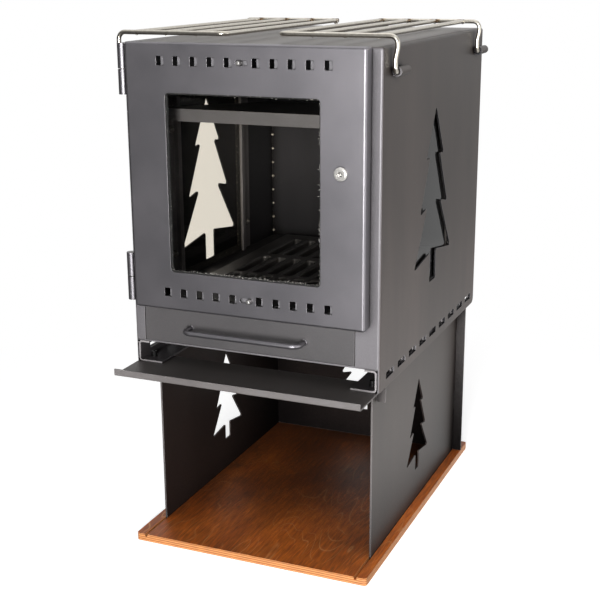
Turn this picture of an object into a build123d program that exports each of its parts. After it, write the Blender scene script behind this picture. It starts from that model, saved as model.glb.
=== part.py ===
from build123d import *
import math
import os

# Camping wood stove on a plywood base, in millimetres.
# +Z is up, the door faces -Y, and the origin is the centre of the board's underside.

# Stove body
case_width = 300.0
case_depth = 387.2
case_height = 365.5
case_setback = 25.4
case_sheet = 2.0
bend_radius = 3.0
side_rear_corner_radius = 8.0
front_flange = 32.0
left_drawer_flange = 13.0
right_drawer_flange = 28.0
top_flange = 8.0
header_height = 13.5
front_bottom_edge = 27.0
bottom_plate_setback = 1.0
sill_bottom = 69.0
sill_top = 85.0

# Fir stencil cut in the panels, as shares of its width and height
fir_tiers = 3
fir_trunk_width = 0.17
fir_trunk_height = 0.13
fir_tier_narrowing = 0.26
fir_branch_droop = 0.12
fir_notch = 0.35

# Base board
board_side_inset = 3.5
board_depth = 420.0
board_thickness = 9.0
board_corner_radius = 4.0
groove_width = 3.4
groove_depth = 3.0

# Stand of slotted sheet panels
stand_sheet = 2.0
stand_side_inset = 15.6
stand_height = 210.6
stand_back_side_inset = 3.2
stand_front_setback = 49.4
stand_panel_depth = 338.5
stand_tab_height = 24.0
stand_tab_heights = (60.0, 150.0)
slot_clearance = 0.3
stand_ear_setback = 13.0
stand_ear_reach = 10.6
stand_ear_height = 24.0
stand_tree_width = 88.0
stand_tree_height = 122.0
stand_tree_setback = 172.0
stand_tree_base = 40.0
stand_tree_rounding = 1.6

# Bottom slots in the side panels
side_slot_count = 9
side_slot_pitch = 40.3
side_slot_length = 27.0
side_slot_height = 7.8
side_slot_centre = 13.0
side_slot_row_shift = 3.2
side_slot_corner = 1.5

# Foot channels and the ember shelf bolted under them
foot_height = 25.0
foot_sheet = 2.0
foot_bottom_flange = 30.0
foot_top_flange = 14.0
foot_bend_radius = 4.0
foot_side_gap = 1.2
shelf_reach = 54.0
shelf_under_case = 29.0
shelf_side_inset = 2.0
shelf_sheet = 1.5
shelf_lip = 6.5
foot_screw_inset = 13.5
foot_screw_setback = 16.5
foot_screw_radius = 2.0
foot_screw_head_radius = 3.3
foot_screw_head_height = 5.0
foot_washer_radius = 4.2
foot_washer_thickness = 1.0
foot_nut_flats = 7.0
foot_nut_height = 3.2
hex_socket_flats = 3.0
hex_socket_depth = 2.5
fastener_clearance = 0.15

# Side windows
side_window_setback = 189.0
side_window_centre = 184.0
side_tree_width = 148.0
side_tree_height = 208.0
side_tree_rounding = 2.5
side_glass_width = 176.0
side_glass_height = 224.0
side_glass_thickness = 4.0
glass_chamfer = 0.4
side_gasket_thickness = 1.5
side_gasket_width = 9.0
clamp_sheet = 2.0
clamp_on_glass = 6.0
clamp_on_wall = 26.0
clamp_stud_count = 2
clamp_stud_spacing = 150.0

# Studs and nuts that hold the clamps
stud_radius = 2.0
stud_length = 8.0
nut_flats = 7.0
nut_height = 3.2
nut_clearance = 0.05

# Firebox
floor_top = 70.0
floor_flange = 12.0
ash_opening_width = 200.0
ash_opening_front = 105.0
ash_opening_depth = 235.0
grate_width = 224.0
grate_front = 93.0
grate_depth = 259.0
grate_thickness = 10.0
grate_corner_radius = 8.0
grate_slot_width = 12.0
grate_slot_pitch = 21.0
grate_slot_columns = 9
grate_slot_corner = 3.6
grate_slot_rounding = 2.5
grate_short_slot = (22.0, 20.0)
grate_middle_slot = (52.0, 80.0)
grate_rear_slot = (147.0, 90.0)
baffle_side_gap = 10.0
baffle_front = 35.0
baffle_rear_gap = 4.0
baffle_sheet = 2.0
baffle_front_height = 291.0
baffle_rear_height = 262.0
baffle_lip = 14.0
baffle_pin_radius = 4.0
baffle_pin_length = 18.0
baffle_pin_setbacks = (55.0, 350.0)

# Flue collar on the back
collar_radius = 40.0
collar_wall = 1.5
collar_length = 36.0
collar_drop = 50.5
collar_flange_radius = 56.0
collar_flange_sheet = 2.0
collar_fit = 0.05
rivet_circle_radius = 48.0
rivet_radius = 2.0
rivet_head_radius = 4.0
rivet_head_height = 1.6
rivet_tail_radius = 3.2
rivet_count = 4
rivet_first_angle = 45.0

# Door
door_left_inset = 11.0
door_right_inset = 11.5
door_bottom = 71.9
door_top_rise = 1.0
door_depth = 14.5
door_gap = 2.5
door_sheet = 2.0
window_left_frame = 48.1
window_right_frame = 49.9
window_bottom_frame = 44.4
window_top_frame = 52.4
window_corner_radius = 4.5
vent_width = 9.0
vent_height = 10.0
vent_corner_radius = 1.2
vent_pitch = 20.1
vent_inner_offset = 16.0
vents_per_side = 5
vent_centre_offset = 1.4
upper_vent_drop = 19.0
lower_vent_rise = 20.7
knob_slot_length = 14.4
knob_slot_height = 5.8

# Air slides, their rails and their pins
slide_sheet = 1.5
slide_clearance = 0.3
slide_length = 232.0
slide_height = 15.0
rail_length = 220.0
rail_base = 2.3
rail_lip = 2.0
rail_sheet = 1.5
pin_radius = 2.5
pin_reach = 6.0
pin_dome_rounding = 1.5
upper_vent_cover = 4.5
lower_vent_cover = 3.0
upper_pin_offset = -2.3
lower_pin_offset = 4.5

# Door glass, seal and clips
door_gasket_thickness = 2.0
door_gasket_overlap = 1.5
door_glass_margin = 12.0
door_glass_thickness = 4.0
clip_sheet = 1.5
clip_on_glass = 6.0
clip_on_door = 13.0
clip_height = 24.0
clip_spacing = 140.0
seal_channel_sheet = 1.5
seal_channel_setback = 9.5
seal_channel_leg = 5.5
rope_radius = 3.85
rope_joint_gap = 0.2

# Door hinges
hinge_barrel_radius = 5.5
hinge_axis_inset = 6.0
hinge_axis_reach = 10.0
hinge_half_height = 27.0
hinge_half_gap = 1.0
hinge_pin_radius = 3.0
hinge_running_clearance = 0.05
lower_hinge_rise = 78.0
upper_hinge_drop = 55.5
hinge_pad_width = 5.0

# Quarter-turn latch
latch_inset = 27.3
latch_height = 239.0
latch_bezel_radius = 7.5
latch_bezel_height = 3.0
latch_bezel_rounding = 2.1
latch_body_radius = 6.0
latch_body_length = 14.0
latch_bore_radius = 4.08
latch_insert_radius = 4.0
latch_insert_recess = 0.5
latch_socket_flats = 5.0
latch_socket_depth = 4.0
latch_nut_flats = 13.0
latch_nut_thickness = 3.0
cam_gap = 1.6
cam_thickness = 3.0
cam_width = 10.0
cam_length = 24.0
cam_corner_radius = 2.0
cam_screw_radius = 2.0
cam_screw_head_radius = 4.0
cam_screw_head_height = 2.6
cam_screw_head_rounding = 1.2
cam_screw_depth = 8.0
cam_screw_hole_spare = 1.0

# Ash drawer
drawer_gap = 0.8
drawer_sheet = 2.0
tray_sheet = 1.5
tray_side_gap = 6.0
tray_depth = 338.0
tray_height = 35.0
tray_clearance = 0.3
handle_radius = 3.0
handle_bar_reach = 19.0
handle_left_inset = 72.5
handle_span = 140.0
handle_height = 47.3
handle_bend_radius = 9.0

# Folding wire racks
wire_radius = 2.5
rack_tube_radius = 5.0
rack_tube_bore = 3.2
rack_tube_length = 31.0
rack_tube_gap = 6.0
rack_axis_drop = 26.0
rack_plane_rise = 10.0
rack_leg_lean = 2.0
rack_leg_kink = 0.4
rack_kink_height = 12.5
rack_lean_height = 23.5
rack_inner_half_gap = 27.0
rack_length = 321.0
rack_bar_pitch = 36.3
rack_bar_count = 3
rack_bend_radius = 8.0
rack_pivot_bend_radius = 5.0
rack_kink_radius = 15.0
rack_pivot_length = 37.0
right_rack_front = 22.0
left_rack_front = 4.0

# Planes and levels that several pieces share
board_width = case_width - 2 * board_side_inset
board_front = -board_depth / 2
case_bottom = board_thickness + stand_height
case_top = case_bottom + case_height
case_front = board_front + case_setback
case_back = case_front + case_depth
case_half = case_width / 2
case_inner_half = case_half - case_sheet
stand_half = case_half - stand_side_inset
case_inner_front = case_front + case_sheet
case_inner_back = case_back - case_sheet
case_inner_top = case_top - case_sheet
opening_half = case_half - front_flange
drawer_opening_left = -case_half + left_drawer_flange
drawer_opening_right = case_half - right_drawer_flange
front_edge_level = case_bottom + front_bottom_edge
sill_bottom_level = case_bottom + sill_bottom
sill_top_level = case_bottom + sill_top
header_level = case_top - header_height
door_left = -case_half + door_left_inset
door_right = case_half - door_right_inset
door_bottom_level = case_bottom + door_bottom
door_top_level = case_top + door_top_rise
door_rim = case_front - door_gap
door_front = door_rim - door_depth
door_inner_face = door_front + door_sheet
window_left = door_left + window_left_frame
window_right = door_right - window_right_frame
window_bottom_level = door_bottom_level + window_bottom_frame
window_top_level = door_top_level - window_top_frame
vent_centre = (door_left + door_right) / 2 + vent_centre_offset
upper_vent_level = door_top_level - upper_vent_drop
lower_vent_level = door_bottom_level + lower_vent_rise


def block(x0, x1, y0, y1, z0, z1):
    """A box between two corners."""
    size = (abs(x1 - x0), abs(y1 - y0), abs(z1 - z0))
    return Pos((x0 + x1) / 2, (y0 + y1) / 2, (z0 + z1) / 2) * Box(*size)


def rod(radius, x, y, z):
    """A round bar along the one direction that is given as a pair of ends."""
    for turn, ends, middle in (
        (Rot(0, 90, 0), x, lambda m: (m, y, z)),
        (Rot(90, 0, 0), y, lambda m: (x, m, z)),
        (Rot(0, 0, 0), z, lambda m: (x, y, m)),
    ):
        if isinstance(ends, tuple):
            start, end = ends
            bar = turn * Cylinder(radius, abs(end - start))
            return Pos(*middle((start + end) / 2)) * bar


def edges_at(shape, axis, **places):
    """Edges along an axis whose middle lies at the given coordinates."""
    chosen = shape.edges().filter_by(axis)
    for name, value in places.items():
        chosen = [edge for edge in chosen if abs(getattr(edge.center(), name) - value) < 0.01]
    return chosen


def along_x(x, y, z):
    """A plane whose sketch lies in Y and Z, for cuts through side panels."""
    return Plane(origin=(x, y, z), x_dir=(0, 1, 0), z_dir=(1, 0, 0))


def along_y(x, y, z):
    """A plane whose sketch lies in X and Z, for cuts through front and back panels."""
    return Plane(origin=(x, y, z), x_dir=(1, 0, 0), z_dir=(0, -1, 0))


def cutter(plane, sketch, depth, rounding=0):
    """A solid that a sketch cuts to both sides of its plane."""
    solid = extrude(sketch, depth, both=True)
    if rounding:
        solid = fillet(solid.edges().filter_by(Axis.Z), rounding)
    return plane * solid


def fir_tree(width, height):
    """A stencil of a fir: a trunk and drooping tiers, base at the origin."""
    trunk_half = fir_trunk_width * width / 2
    trunk_height = fir_trunk_height * height
    tier_height = (height - trunk_height) / fir_tiers
    right = [(trunk_half, 0)]
    inner = trunk_half
    for tier in range(fir_tiers):
        tip = width / 2 * (1 - fir_tier_narrowing * tier)
        level = trunk_height + tier * tier_height
        right += [(inner, level + fir_branch_droop * tip), (tip, level)]
        inner = fir_notch * tip
    left = [(-x, z) for x, z in reversed(right)]
    return make_face(Polyline(*right, (0, height), *left, close=True))


def hex_bar(flats, length):
    """A hexagonal bar along Z, centred."""
    return extrude(RegularPolygon(flats / 2, 6, major_radius=False), length / 2, both=True)


def hex_nut(flats, height, hole_radius):
    """A plain hexagonal nut along Z, centred."""
    return hex_bar(flats, height) - Cylinder(hole_radius, height)


def mirrored(shape):
    """The same piece on the other side of the stove."""
    return shape.mirror(Plane.YZ)


def save(name, *solids):
    """Write one sub-part, of one solid or of several separate ones."""
    shape = solids[0] if len(solids) == 1 else Compound(children=list(solids))
    export_step(shape, f"parts/{name}.step")


def base_board():
    """Plywood board with a groove under each side panel of the stand."""
    board = block(-board_width / 2, board_width / 2, board_front, -board_front, 0, board_thickness)
    board = fillet(board.edges().filter_by(Axis.Z), board_corner_radius)
    middle = stand_half - stand_sheet / 2
    for x in (-middle, middle):
        board -= block(
            x - groove_width / 2, x + groove_width / 2, board_front, -board_front,
            board_thickness - groove_depth, board_thickness,
        )
    return board


stand_front = board_front + stand_front_setback
stand_back_front = stand_front + stand_panel_depth
stand_back_rear = stand_back_front + stand_sheet
stand_tree_level = board_thickness + stand_tree_base


def tab_levels(clearance):
    """Bottom and top of each tab that holds a side panel in the back panel."""
    return [
        (board_thickness + low - clearance, board_thickness + low + stand_tab_height + clearance)
        for low in stand_tab_heights
    ]


def stand_side_panel():
    """Right side panel: fir stencil, tabs at the rear, ear under the body, foot in the groove."""
    outer = stand_half
    inner = outer - stand_sheet
    panel = block(
        inner, outer, stand_front, stand_back_front, board_thickness - groove_depth, case_bottom
    )
    for low, high in tab_levels(0):
        panel += block(inner, outer, stand_back_front, stand_back_rear, low, high)
    shelf_end = case_front + shelf_under_case + slot_clearance
    panel -= block(inner, outer, stand_front, shelf_end, case_bottom - shelf_sheet, case_bottom)
    tree_plane = along_x(outer, stand_front + stand_tree_setback, stand_tree_level)
    tree = fir_tree(stand_tree_width, stand_tree_height)
    panel -= cutter(tree_plane, tree, 2 * stand_sheet, stand_tree_rounding)
    ear_y = stand_front + stand_ear_setback
    return panel + block(
        outer, outer + stand_ear_reach, ear_y, ear_y + stand_sheet, case_bottom - stand_ear_height, case_bottom
    )


def stand_back_panel():
    """Back panel with the same stencil and slots for the side panels' tabs."""
    half = case_half - stand_back_side_inset
    panel = block(-half, half, stand_back_front, stand_back_rear, board_thickness, case_bottom)
    plane = along_y(0, stand_back_front, stand_tree_level)
    tree = fir_tree(stand_tree_width, stand_tree_height)
    panel -= cutter(plane, tree, 2 * stand_sheet, stand_tree_rounding)
    outer = stand_half + slot_clearance
    inner = stand_half - stand_sheet - slot_clearance
    for low, high in tab_levels(slot_clearance):
        for side in (-1, 1):
            panel -= block(side * inner, side * outer, stand_back_front, stand_back_rear, low, high)
    return panel


foot_screw_x = case_half - foot_screw_inset
foot_screw_y = case_front + foot_screw_setback


def both_screws(shape):
    """The piece at the left and the right foot screw."""
    return [Pos(side * foot_screw_x, foot_screw_y, 0) * shape for side in (-1, 1)]


def ember_shelf():
    """Folded ledge in front of the door, bolted under the foot channels."""
    half = case_half - shelf_side_inset
    front = case_front - shelf_reach
    plate = block(
        -half, half, front, case_front + shelf_under_case, case_bottom - shelf_sheet, case_bottom
    )
    lip = block(-half, half, front, front + shelf_sheet, case_bottom - shelf_sheet, case_bottom + shelf_lip)
    shelf = plate + lip
    shelf = fillet(edges_at(shelf, Axis.X, Y=front, Z=case_bottom - shelf_sheet), shelf_sheet)
    hole_height = (case_bottom - 2 * shelf_sheet, case_bottom + shelf_sheet)
    hole = rod(foot_screw_radius + fastener_clearance, 0, 0, hole_height)
    for cut in both_screws(hole):
        shelf -= cut
    return shelf


def side_slots(x, skip_middle):
    """The row of slots low in a side panel, or behind it in the foot channel."""
    middle = (case_front + case_back) / 2 + side_slot_row_shift
    sketch = RectangleRounded(side_slot_length, side_slot_height, side_slot_corner)
    cuts = []
    for index in range(side_slot_count):
        step = index - (side_slot_count - 1) / 2
        if skip_middle and step == 0:
            continue
        plane = along_x(x, middle + step * side_slot_pitch, case_bottom + side_slot_centre)
        cuts.append(cutter(plane, sketch, 2 * case_sheet))
    return cuts


def foot_channel():
    """Right foot channel: a C of folded sheet, open inwards, that the body stands on."""
    outer = case_inner_half - foot_side_gap
    inner = outer - foot_bottom_flange
    top = case_bottom + foot_height
    skin = block(inner, outer, case_front, case_back, case_bottom, top)
    for level in (case_bottom, top):
        skin = fillet(edges_at(skin, Axis.Y, X=outer, Z=level), foot_bend_radius)
    core = block(
        inner - foot_sheet, outer - foot_sheet, case_front, case_back,
        case_bottom + foot_sheet, top - foot_sheet,
    )
    for level in (case_bottom + foot_sheet, top - foot_sheet):
        core = fillet(edges_at(core, Axis.Y, X=outer - foot_sheet, Z=level), foot_bend_radius - foot_sheet)
    channel = skin - core
    channel -= block(
        inner, outer - foot_top_flange, case_front, case_back, case_bottom + foot_sheet, top
    )
    for cut in side_slots(outer, skip_middle=True):
        channel -= cut
    hole_height = (case_bottom, case_bottom + foot_sheet)
    hole = rod(foot_screw_radius + fastener_clearance, foot_screw_x, foot_screw_y, hole_height)
    return channel - hole


def foot_screw():
    """Socket screw with its washer, through the channel's flange and the shelf."""
    seat = case_bottom + foot_sheet
    head_base = seat + foot_washer_thickness
    tip = case_bottom - shelf_sheet - foot_nut_height
    screw = rod(foot_screw_radius, 0, 0, (tip, head_base))
    screw += rod(foot_washer_radius, 0, 0, (seat, head_base))
    screw += rod(foot_screw_head_radius, 0, 0, (head_base, head_base + foot_screw_head_height))
    socket = hex_bar(hex_socket_flats, 2 * hex_socket_depth)
    return screw - Pos(0, 0, head_base + foot_screw_head_height) * socket


def foot_nut():
    """Nut under the shelf."""
    nut = hex_nut(foot_nut_flats, foot_nut_height, foot_screw_radius + nut_clearance)
    return Pos(0, 0, case_bottom - shelf_sheet - foot_nut_height / 2) * nut


def casing_shell():
    """The folded skin of the body: two sides, top and front, before it is parted."""
    skin = block(-case_half, case_half, case_front, case_back, case_bottom, case_top)
    core = block(
        -case_inner_half, case_inner_half, case_inner_front, case_back + case_sheet,
        case_bottom - case_sheet, case_inner_top,
    )
    shells = []
    for shape, half, front, top, radius in (
        (skin, case_half, case_front, case_top, bend_radius),
        (core, case_inner_half, case_inner_front, case_inner_top, bend_radius - case_sheet),
    ):
        bends = edges_at(shape, Axis.X, Y=front, Z=top)
        for x in (-half, half):
            bends += edges_at(shape, Axis.Z, X=x, Y=front)
            bends += edges_at(shape, Axis.Y, X=x, Z=top)
        shells.append(fillet(bends, radius))
    return shells[0] - shells[1]


shell = casing_shell()
bend_front = case_front + bend_radius


def side_keep(drawer_flange):
    """The region of the shell that is the right side panel with its front flange."""
    side = block(case_half - top_flange, case_half, case_front, case_back, front_edge_level, case_top)
    skirt = block(case_inner_half, case_half, case_front, case_back, case_bottom, front_edge_level)
    upper = block(opening_half, case_half, case_front, bend_front, sill_bottom_level, case_top)
    lower = block(
        case_half - drawer_flange, case_half, case_front, bend_front, front_edge_level, sill_bottom_level
    )
    return side + skirt + upper + lower


side_window_level = case_bottom + side_window_centre - side_tree_height / 2


def casing_side(side, drawer_flange):
    """Side panel: fir window, bottom slots, flange beside the door and the drawer."""
    keep = side_keep(drawer_flange)
    if side < 0:
        keep = mirrored(keep)
    panel = shell & keep
    x = side * case_half
    plane = along_x(x, case_front + side_window_setback, side_window_level)
    tree = fir_tree(side_tree_width, side_tree_height)
    panel -= cutter(plane, tree, 2 * case_sheet, side_tree_rounding)
    for cut in side_slots(x, skip_middle=False):
        panel -= cut
    return fillet(edges_at(panel, Axis.X, Y=case_back, Z=case_bottom), side_rear_corner_radius)


def casing_top():
    """Top plate with the header folded down over the door opening."""
    half = case_half - top_flange
    keep = block(-half, half, bend_front, case_back, case_inner_top, case_top)
    keep += block(-opening_half, opening_half, case_front, bend_front, header_level, case_top)
    return shell & keep


def front_sill():
    """Strip between the door and the ash drawer."""
    keep = block(-opening_half, opening_half, case_front, case_inner_front, sill_bottom_level, sill_top_level)
    return shell & keep


collar_level = case_top - collar_drop


def rivet_places():
    """Rivet centres round the flue collar, in X and Z."""
    for index in range(rivet_count):
        angle = math.radians(rivet_first_angle + 360 / rivet_count * index)
        yield (
            rivet_circle_radius * math.cos(angle),
            collar_level + rivet_circle_radius * math.sin(angle),
        )


def casing_back():
    """Back plate between the side panels, with the flue hole."""
    plate = block(
        -case_inner_half, case_inner_half, case_inner_back, case_back, front_edge_level, case_inner_top
    )
    for x in (-case_inner_half, case_inner_half):
        plate = fillet(edges_at(plate, Axis.Y, X=x, Z=case_inner_top), bend_radius)
    plate -= rod(collar_radius + slot_clearance, 0, (case_inner_back, case_back), collar_level)
    for x, z in rivet_places():
        plate -= rod(rivet_radius + nut_clearance, x, (case_inner_back, case_back), z)
    return plate


def casing_bottom():
    """Plate that the ash drawer slides on, over the foot channels."""
    return block(
        -case_inner_half, case_inner_half, case_front + bottom_plate_setback, case_back,
        case_bottom + foot_height, front_edge_level,
    )


floor_level = case_bottom + floor_top


def firebox_floor():
    """Plate under the grate, with its side flanges and the opening the ash falls through."""
    under = floor_level - case_sheet
    plate = block(
        -case_inner_half, case_inner_half, case_inner_front, case_inner_back, under, floor_level
    )
    for side in (-1, 1):
        plate += block(
            side * (case_inner_half - case_sheet), side * case_inner_half,
            case_inner_front, case_inner_back, under - floor_flange, under,
        )
    for x in (-case_inner_half, case_inner_half):
        plate = fillet(edges_at(plate, Axis.Z, X=x, Y=case_inner_front), bend_radius)
    opening_front = case_front + ash_opening_front
    return plate - block(
        -ash_opening_width / 2, ash_opening_width / 2,
        opening_front, opening_front + ash_opening_depth, under, floor_level,
    )


def fire_grate():
    """Cast grate with three rows of slots between bars."""
    half = grate_width / 2
    front = case_front + grate_front
    top = floor_level + grate_thickness
    grate = block(-half, half, front, front + grate_depth, floor_level, top)
    grate = fillet(grate.edges().filter_by(Axis.Z), grate_corner_radius)
    cuts = []
    for start, length in (grate_short_slot, grate_middle_slot, grate_rear_slot):
        sketch = RectangleRounded(grate_slot_width, length, grate_slot_corner)
        for column in range(grate_slot_columns):
            x = (column - (grate_slot_columns - 1) / 2) * grate_slot_pitch
            place = Pos(x, front + start + length / 2, floor_level)
            cuts.append(place * extrude(sketch, grate_thickness))
    grate -= cuts
    rims = [
        edge for edge in grate.edges().group_by(Axis.Z)[-1]
        if abs(edge.center().X) < half - grate_slot_width / 2
        and front + grate_slot_rounding < edge.center().Y < front + grate_depth - grate_slot_rounding
    ]
    return fillet(rims, grate_slot_rounding)


baffle_run = case_inner_back - baffle_rear_gap - (case_front + baffle_front)
baffle_slope = (baffle_front_height - baffle_rear_height) / baffle_run


def baffle_plate():
    """Sloping smoke baffle with a folded front lip."""
    front = case_front + baffle_front
    rear = front + baffle_run
    high = case_bottom + baffle_front_height
    low = case_bottom + baffle_rear_height
    lip_end = high - baffle_lip
    profile = Polyline(
        (front, high), (rear, low), (rear, low - baffle_sheet),
        (front + baffle_sheet, high - baffle_sheet - baffle_sheet * baffle_slope),
        (front + baffle_sheet, lip_end), (front, lip_end), close=True,
    )
    return cutter(along_x(0, 0, 0), make_face(profile), case_inner_half - baffle_side_gap)


def baffle_pins():
    """Four short bars on the side walls that the baffle lies on."""
    slant = math.hypot(1, baffle_slope)
    pins = []
    for setback in baffle_pin_setbacks:
        fall = (setback - baffle_front) * baffle_slope
        underside = case_bottom + baffle_front_height - fall - baffle_sheet
        z = underside - baffle_pin_radius * slant
        ends = (case_inner_half - baffle_pin_length, case_inner_half)
        pin = rod(baffle_pin_radius, ends, case_front + setback, z)
        pins += [pin, mirrored(pin)]
    return pins


def flue_collar():
    """Round spigot for the flue pipe, through the back plate."""
    ends = (case_inner_back, case_back + collar_length)
    tube = rod(collar_radius, 0, ends, collar_level)
    return tube - rod(collar_radius - collar_wall, 0, ends, collar_level)


def flue_flange():
    """Ring welded round the collar and riveted to the back plate."""
    ends = (case_back, case_back + collar_flange_sheet)
    ring = rod(collar_flange_radius, 0, ends, collar_level)
    ring -= rod(collar_radius + collar_fit, 0, ends, collar_level)
    for x, z in rivet_places():
        ring -= rod(rivet_radius + nut_clearance, x, ends, z)
    return ring


def flue_rivets():
    """Blind rivets through the collar's flange and the back plate."""
    outside = case_back + collar_flange_sheet
    rivets = []
    for x, z in rivet_places():
        rivet = rod(rivet_radius, x, (case_inner_back, outside), z)
        rivet += rod(rivet_head_radius, x, (outside, outside + rivet_head_height), z)
        rivet += rod(rivet_tail_radius, x, (case_inner_back - rivet_head_height, case_inner_back), z)
        rivets.append(rivet)
    return rivets


side_window_y = case_front + side_window_setback
side_glass_level = case_bottom + side_window_centre
gasket_inner_x = case_inner_half - side_gasket_thickness
side_glass_inner_x = gasket_inner_x - side_glass_thickness


def centred_pane(x0, x1, width, height):
    """A pane in a side window, by its two faces and its size."""
    return block(
        x0, x1, side_window_y - width / 2, side_window_y + width / 2,
        side_glass_level - height / 2, side_glass_level + height / 2,
    )


def side_glass():
    """Right side glass, inside the panel."""
    pane = centred_pane(side_glass_inner_x, gasket_inner_x, side_glass_width, side_glass_height)
    return chamfer(pane.edges(), glass_chamfer)


def side_gasket():
    """Flat fibre gasket between the right panel and its glass."""
    gasket = centred_pane(gasket_inner_x, case_inner_half, side_glass_width, side_glass_height)
    inner_width = side_glass_width - 2 * side_gasket_width
    inner_height = side_glass_height - 2 * side_gasket_width
    return gasket - centred_pane(gasket_inner_x, case_inner_half, inner_width, inner_height)


def side_stud_places():
    """Places of the studs behind the right side panel, in Y and Z."""
    reach = side_glass_width / 2 + clamp_on_wall / 2
    for side in (-1, 1):
        for index in range(clamp_stud_count):
            step = index - (clamp_stud_count - 1) / 2
            yield side_window_y + side * reach, side_glass_level + step * clamp_stud_spacing


def side_clamps():
    """Stepped strips inside the right panel that press the glass on its gasket."""
    low = side_glass_level - side_glass_height / 2
    high = side_glass_level + side_glass_height / 2
    glass_edge = side_glass_width / 2 + slot_clearance
    strips = []
    for side in (-1, 1):
        on_glass = side_window_y + side * (glass_edge - clamp_on_glass)
        step_start = side_window_y + side * glass_edge
        step_end = side_window_y + side * (glass_edge + clamp_sheet)
        wall_end = side_window_y + side * (glass_edge + clamp_on_wall)
        face = side_glass_inner_x - clamp_sheet
        strip = block(face, side_glass_inner_x, on_glass, step_end, low, high)
        strip += block(face, case_inner_half, step_start, step_end, low, high)
        strip += block(case_inner_half - clamp_sheet, case_inner_half, step_start, wall_end, low, high)
        for y, z in side_stud_places():
            strip -= rod(stud_radius + fastener_clearance, (face, case_inner_half), y, z)
        strips.append(strip)
    return strips


def side_studs():
    """Studs welded inside the right panel."""
    ends = (case_inner_half - stud_length, case_inner_half)
    return [rod(stud_radius, ends, y, z) for y, z in side_stud_places()]


def side_nuts():
    """Nuts on the studs of the right panel."""
    nut = Rot(0, 90, 0) * hex_nut(nut_flats, nut_height, stud_radius + nut_clearance)
    x = case_inner_half - clamp_sheet - nut_height / 2
    return [Pos(x, y, z) * nut for y, z in side_stud_places()]


hinge_x = door_left - hinge_axis_inset
hinge_y = case_front - hinge_axis_reach
hinge_bore = hinge_pin_radius + hinge_running_clearance
hinge_lows = (case_bottom + lower_hinge_rise, case_top - upper_hinge_drop)


def hinge_levels(low):
    """Bottom of the lower half, bottom of the upper half and top of one hinge."""
    return low, low + hinge_half_height + hinge_half_gap, low + 2 * hinge_half_height + hinge_half_gap


def hinge_lower_halves():
    """Fixed barrels with the pads that are welded to the body's front."""
    halves = []
    for low in hinge_lows:
        ends = (low, low + hinge_half_height)
        half = rod(hinge_barrel_radius, hinge_x, hinge_y, ends)
        pad = block(
            hinge_x - hinge_pad_width / 2, hinge_x + hinge_pad_width / 2, hinge_y, case_front, *ends
        )
        halves.append(half + pad - rod(hinge_bore, hinge_x, hinge_y, ends))
    return halves


def hinge_upper_halves():
    """Barrels that turn with the door, with the pads that are welded to its side."""
    halves = []
    for lower_end in hinge_lows:
        ends = hinge_levels(lower_end)[1:]
        half = rod(hinge_barrel_radius, hinge_x, hinge_y, ends)
        pad = block(
            hinge_x, door_left, hinge_y - hinge_pad_width / 2, hinge_y + hinge_pad_width / 2, *ends
        )
        halves.append(half + pad - rod(hinge_bore, hinge_x, hinge_y, ends))
    return halves


def hinge_pins():
    """Pins through both halves of each hinge."""
    pins = []
    for lower_end in hinge_lows:
        low, middle, high = hinge_levels(lower_end)
        pins.append(rod(hinge_pin_radius, hinge_x, hinge_y, (low, high)))
    return pins


def vent_columns():
    """Centres of the square vents along a row, from the middle of the row."""
    for step in range(vents_per_side):
        for side in (-1, 1):
            yield side * (vent_inner_offset + step * vent_pitch)


latch_x = door_right - latch_inset
latch_level = case_bottom + latch_height


def door_panel():
    """Pressed door pan with its window, two rows of vents, knob slots and latch hole."""
    skin = block(door_left, door_right, door_front, door_rim, door_bottom_level, door_top_level)
    core = block(
        door_left + door_sheet, door_right - door_sheet, door_inner_face, door_rim + door_sheet,
        door_bottom_level + door_sheet, door_top_level - door_sheet,
    )
    parts = []
    for shape, radius in ((skin, bend_radius), (core, bend_radius - door_sheet)):
        corners = shape.edges().filter_by(Axis.Y)
        face = shape.edges().group_by(Axis.Y)[0]
        parts.append(fillet(corners + face, radius))
    door = parts[0] - parts[1]
    window = RectangleRounded(
        window_right - window_left, window_top_level - window_bottom_level, window_corner_radius
    )
    middle_x = (window_left + window_right) / 2
    middle_z = (window_bottom_level + window_top_level) / 2
    door -= cutter(along_y(middle_x, door_front, middle_z), window, 2 * door_sheet)
    vent = RectangleRounded(vent_width, vent_height, vent_corner_radius)
    knob_slot = SlotOverall(knob_slot_length, knob_slot_height)
    for level in (upper_vent_level, lower_vent_level):
        door -= cutter(along_y(vent_centre, door_front, level), knob_slot, 2 * door_sheet)
        for column in vent_columns():
            door -= cutter(along_y(vent_centre + column, door_front, level), vent, 2 * door_sheet)
    hole_ends = (door_front, door_inner_face)
    return door - rod(latch_body_radius + slot_clearance, latch_x, hole_ends, latch_level)


def air_slide(level, cover):
    """Slide plate behind a row of vents, its holes shifted so that part is covered."""
    front = door_inner_face + slide_clearance
    half = slide_length / 2
    plate = block(
        vent_centre - half, vent_centre + half, front, front + slide_sheet,
        level - slide_height / 2, level + slide_height / 2,
    )
    hole = RectangleRounded(vent_width, vent_height, vent_corner_radius)
    for column in vent_columns():
        plane = along_y(vent_centre + column - cover, front, level)
        plate -= cutter(plane, hole, 2 * slide_sheet)
    return plate


def slide_pin(level, offset):
    """Domed pin on a slide plate, through the knob slot of the door."""
    back = door_inner_face + slide_clearance
    tip = door_front - pin_reach
    pin = rod(pin_radius, vent_centre + offset, (tip, back), level)
    return fillet(pin.edges().group_by(Axis.Y)[0], pin_dome_rounding)


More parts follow.
